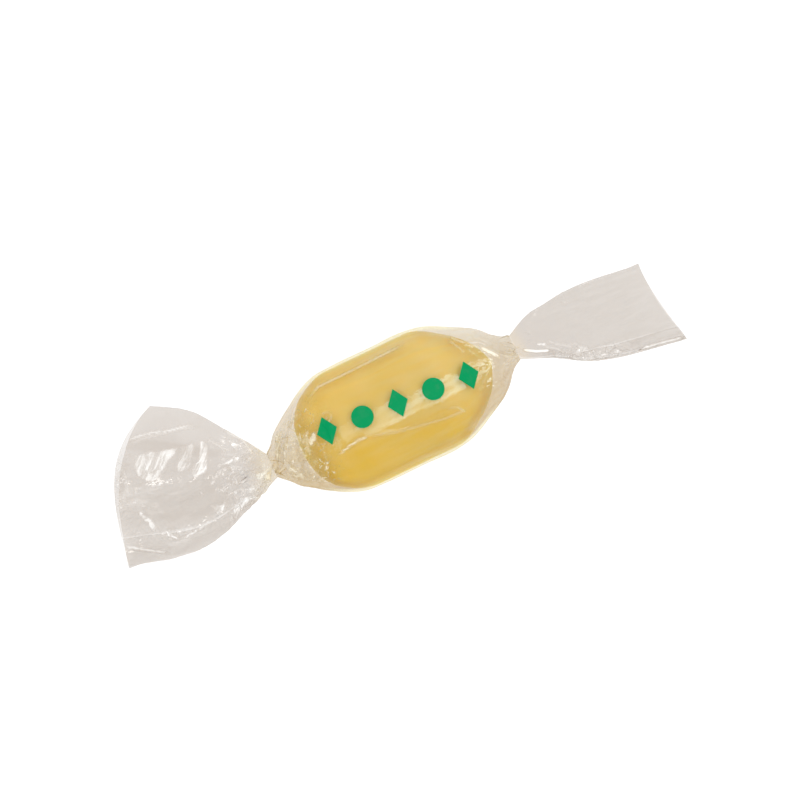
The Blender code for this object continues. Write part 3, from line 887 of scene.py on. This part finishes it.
def makeFilm():
    start = radians(film["freeEdge"]) - 2 * pi * film["turns"]
    turn = film["turns"] * np.linspace(0, 1, film["columns"])
    angles = start + 2 * pi * turn
    folds = foldLine(film["seed"], film["bigFolds"], angles[0], angles[-1])(angles) * 0.7
    folds += foldLine(film["seed"] + 1, film["smallFolds"], angles[0], angles[-1])(angles) * 0.3
    first, last = film["profile"][0][0], film["profile"][-1][0]
    x = np.linspace(first, last, film["sleeveRows"])
    shares = (np.arange(1, film["tailRows"] + 1) / film["tailRows"]) ** film["crowding"]

    left, place, inFront, _, shown = tailPoints(-1, shares[::-1], angles, turn, folds)
    looks = [{**leftTailLooks(shares[::-1, None], place, inFront), **shown}]
    sleeve, shown = sleevePoints(x, angles, turn, folds)
    # painted light: whiter crumples over the lower part of the sweet's left end lift the shade there
    shadeLiftOverEnd = (1 - smooth(x, -12.1, -11.0))[:, None] * (1 - smooth(sleeve[..., 1], 0.8, 3.0))
    shadeLiftOverEnd = shadeLiftOverEnd * (sleeve[..., 2] > film["height"] / 2)
    shown["glint"] = np.maximum(shown["glint"], film["shadeLiftOverEnd"] * shadeLiftOverEnd)
    looks.append({**sleeveLooks(x, sleeve[..., 1]), **shown})
    right, place, _, hidden, shown = tailPoints(1, shares, angles, turn, folds)
    looks.append({**rightTailLooks(shares[:, None], place, hidden), **shown})

    points = np.concatenate([left, sleeve, right])
    # each spot's place on the crumpled sheet, in mm
    leftPath, rightPath = film["tailPaths"]
    run = np.concatenate([first - leftPath * shares[::-1], x, last + rightPath * shares])[:, None]
    around = film["rollRadius"] * angles + 24
    sheet = np.stack([run + 0 * angles, around + 0 * run, 0 * run + 0 * angles], axis=-1)
    mesh = meshFromGrid("film", points * mm)
    addAttribute(mesh, "sheet", "FLOAT_VECTOR", sheet)
    underneath = 1 - smooth(turn, film["turns"] - 1, film["turns"] - 0.99)
    for name in ("cloud", "tint", "shine", "crease", "glint", "bigLoose", "smallLoose"):
        values = np.concatenate([look[name] + 0 * angles for look in looks])
        if name in ("cloud", "shine"):
            values = values * (1 - 0.9 * underneath)
        addAttribute(mesh, name, "FLOAT", values)
    material = filmMaterial()
    piece = addPiece("film", mesh, material)
    runGeometryTree(piece, crumpleTree(material), crumple)
    for vertex in piece.data.vertices:
        vertex.co.z = max(vertex.co.z, 0.02 * mm)
    print("film:", len(piece.data.polygons), "faces")
    return piece


# Printed marks along the film, a plain row of lozenges and dots

marks = {
    "Count": 5,
    "Height": 3.7,
    "Slimness": 0.72,           # a lozenge's width for its height
    "Dot": 0.76,                # a dot's width for a lozenge's height
    "Pitch": 4.72,
    "Start X": -9.25,
    "Start Y": 0.9,
    "Tilt": -4.0,
    "Thickness": 0.03,
    "ink": (0.0, 0.30, 0.10),
}


def inkMaterial():
    material, tree = newMaterial("greenInk")
    patchy = tree.noise(tree.place(), 1500.0, Detail=3.0)
    ink = marks["ink"]
    thin = tuple(value * 0.8 + 0.04 for value in ink)
    shader = tree.node("ShaderNodeBsdfPrincipled", {}, {
        "Base Color": tree.mixColour(patchy.ramp(0.45, 0.8) * 0.4, (*ink, 1.0), (*thin, 1.0)),
        "Roughness": patchy * 0.2 + 0.3,
        "Specular IOR Level": 0.05})
    tree.node("ShaderNodeOutputMaterial", {}, {"Surface": shader})
    return material


def markShape(tree, given, asDot):
    # a square grid of half size 1, pressed to a disc or turned to a lozenge
    grid = tree.node("GeometryNodeMeshGrid", {}, {
        "Size X": 2.0, "Size Y": 2.0, "Vertices X": 25, "Vertices Y": 25})
    place = tree.node("GeometryNodeInputPosition")
    x, y = place.axis("X"), place.axis("Y")
    if asDot:
        wide, high = x * (1 - y * y * 0.5).math("SQRT"), y * (1 - x * x * 0.5).math("SQRT")
        wide, high = wide * given["Dot"], high * given["Dot"]
    else:
        wide, high = (x - y) * 0.5 * given["Slimness"], (x + y) * 0.5
    spot = tree.node("ShaderNodeCombineXYZ", {}, [wide, high, 0.0])
    return tree.node("GeometryNodeSetPosition", {}, {"Geometry": grid, "Position": spot})


def markTree(material):
    tree, given = newGeometryTree("printedMarks", {
        "Film": ("NodeSocketObject", None), "Count": ("NodeSocketInt", 5),
        "Height": ("NodeSocketFloat", 4.0), "Slimness": ("NodeSocketFloat", 0.7),
        "Dot": ("NodeSocketFloat", 0.7), "Pitch": ("NodeSocketFloat", 5.0),
        "Start X": ("NodeSocketFloat", -10.0), "Start Y": ("NodeSocketFloat", 0.0),
        "Tilt": ("NodeSocketFloat", 0.0), "Thickness": ("NodeSocketFloat", 0.03)})
    slant = given["Tilt"].math("RADIANS")
    start = tree.node("ShaderNodeCombineXYZ", {}, [given["Start X"] * mm, given["Start Y"] * mm, 0.03])
    step = tree.node("ShaderNodeCombineXYZ", {}, [
        slant.math("COSINE") * given["Pitch"] * mm, slant.math("SINE") * given["Pitch"] * mm, 0.0])
    row = tree.node("GeometryNodeMeshLine", {}, {
        "Count": given["Count"], "Start Location": start, "Offset": step})
    odd = tree.node("GeometryNodeInputIndex").math("MODULO", 2.0)
    turned = tree.node("ShaderNodeCombineXYZ", {}, [0.0, 0.0, slant])
    join = tree.nodeTree.nodes.new("GeometryNodeJoinGeometry")
    size = given["Height"] * (0.5 * mm)
    for asDot, chosen in ((False, 1 - odd), (True, odd)):
        placed = tree.node("GeometryNodeInstanceOnPoints", {}, {
            "Points": row, "Selection": chosen, "Instance": markShape(tree, given, asDot),
            "Rotation": turned, "Scale": tree.node("ShaderNodeCombineXYZ", {}, [size, size, size])})
        tree.nodeTree.links.new(placed.socket, join.inputs[0])
    flat = tree.node(
        "GeometryNodeRealizeInstances", {}, {"Geometry": Field(tree, join.outputs[0])})
    target = tree.node("GeometryNodeObjectInfo", {}, {"Object": given["Film"]}, "Geometry")
    here = tree.node("GeometryNodeInputPosition")
    hit = tree.node("GeometryNodeRaycast", {}, {
        "Target Geometry": target, "Source Position": here,
        "Ray Direction": (0.0, 0.0, -1.0), "Ray Length": 0.1}, "Hit Position")
    above = tree.node("ShaderNodeCombineXYZ", {}, [0.0, 0.0, given["Thickness"] * mm])
    laid = tree.node("GeometryNodeSetPosition", {}, {
        "Geometry": flat, "Position": tree.node("ShaderNodeVectorMath", {}, [hit, above])})
    smoothed = tree.node("GeometryNodeSetShadeSmooth", {}, {0: laid})
    endGeometryTree(tree, smoothed, material)
    return tree


def makeMarks(filmPiece):
    material = inkMaterial()
    piece = addPiece("printedMarks", bpy.data.meshes.new("printedMarks"), material)
    tree = markTree(material)
    values = {name: value for name, value in marks.items() if name != "ink"}
    runGeometryTree(piece, tree, {**values, "Film": filmPiece})
    print("printed marks:", len(piece.data.polygons), "faces")
    return piece


# Studio

studio = {
    "pixelsPerMm": 8.0,
    "aim": (0.61, 0.55, 6.1),
    "azimuth": -25.5,
    "elevation": 89.0,
    "lens": 250.0,
    "floor": 0.35,
    "floorGlow": 0.8,           # a light table: lit from below, so that shadows stay faint
    "fill": 0.92,
    "softbox": {                # seen from the sweet: angles from straight up
        "tilt": 3.0, "lean": 15.0, "halfAcross": 6.0, "halfAlong": 38.0, "distance": 1.5,
        "radiance": 3.4,
    },
}


def makeCamera(centre):
    camera = bpy.data.cameras.new("camera")
    camera.lens = studio["lens"]
    camera.sensor_width = 36.0
    across = 800 / studio["pixelsPerMm"] * mm
    distance = across * studio["lens"] / camera.sensor_width
    azimuth, elevation = radians(studio["azimuth"]), radians(studio["elevation"])
    back = Vector((
        sin(azimuth) * cos(elevation), -cos(azimuth) * cos(elevation), sin(elevation)))
    piece = bpy.data.objects.new("camera", camera)
    piece.location = centre + back * distance
    piece.rotation_euler = back.to_track_quat("Z", "Y").to_euler()
    bpy.context.scene.collection.objects.link(piece)
    bpy.context.scene.camera = piece


def makeSoftbox(centre):
    # its long side runs along the sweet, and it stands off to the -Y side
    box = studio["softbox"]
    lamp = bpy.data.lights.new("softbox", "AREA")
    lamp.shape = "RECTANGLE"
    lamp.size = 2 * box["distance"] * sin(radians(box["halfAlong"]))
    lamp.size_y = 2 * box["distance"] * sin(radians(box["halfAcross"]))
    lamp.energy = box["radiance"] * pi * lamp.size * lamp.size_y
    piece = bpy.data.objects.new("softbox", lamp)
    tilt, lean = radians(box["tilt"]), radians(box["lean"])
    piece.rotation_euler = (tilt, lean, 0)
    towards = Vector((sin(lean), -sin(tilt) * cos(lean), cos(tilt) * cos(lean)))
    piece.location = centre + towards * box["distance"]
    bpy.context.scene.collection.objects.link(piece)


def makeStudio():
    centre = Vector(studio["aim"]) * mm
    makeCamera(centre)
    makeSoftbox(centre)
    world = bpy.data.worlds.new("studio")
    world.use_nodes = True
    world.node_tree.nodes["Background"].inputs["Color"].default_value = (1, 1, 1, 1)
    world.node_tree.nodes["Background"].inputs["Strength"].default_value = studio["fill"]
    bpy.context.scene.world = world
    floor = bpy.data.meshes.new("floor")
    reach = 2.0
    floor.from_pydata(
        [(-reach, -reach, 0), (reach, -reach, 0), (reach, reach, 0), (-reach, reach, 0)], [],
        [(0, 1, 2, 3)])
    material, tree = newMaterial("floor")
    shader = tree.node("ShaderNodeBsdfPrincipled", {}, {
        "Base Color": (*[studio["floor"]] * 3, 1.0), "Roughness": 0.9, "Specular IOR Level": 0.0,
        "Emission Color": (1, 1, 1, 1), "Emission Strength": studio["floorGlow"]})
    tree.node("ShaderNodeOutputMaterial", {}, {"Surface": shader})
    addPiece("floor", floor, material)
    bpy.context.scene.view_settings.view_transform = "Standard"
    bpy.context.scene.cycles.transparent_max_bounces = 32
    print("studio ready")


makeStudio()
sweetPiece = makeSweet()
filmPiece = makeFilm()
marksPiece = makeMarks(filmPiece)
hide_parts("candy")
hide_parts("wrapper")
for piece in (sweetPiece, filmPiece, marksPiece):
    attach(piece, "root")
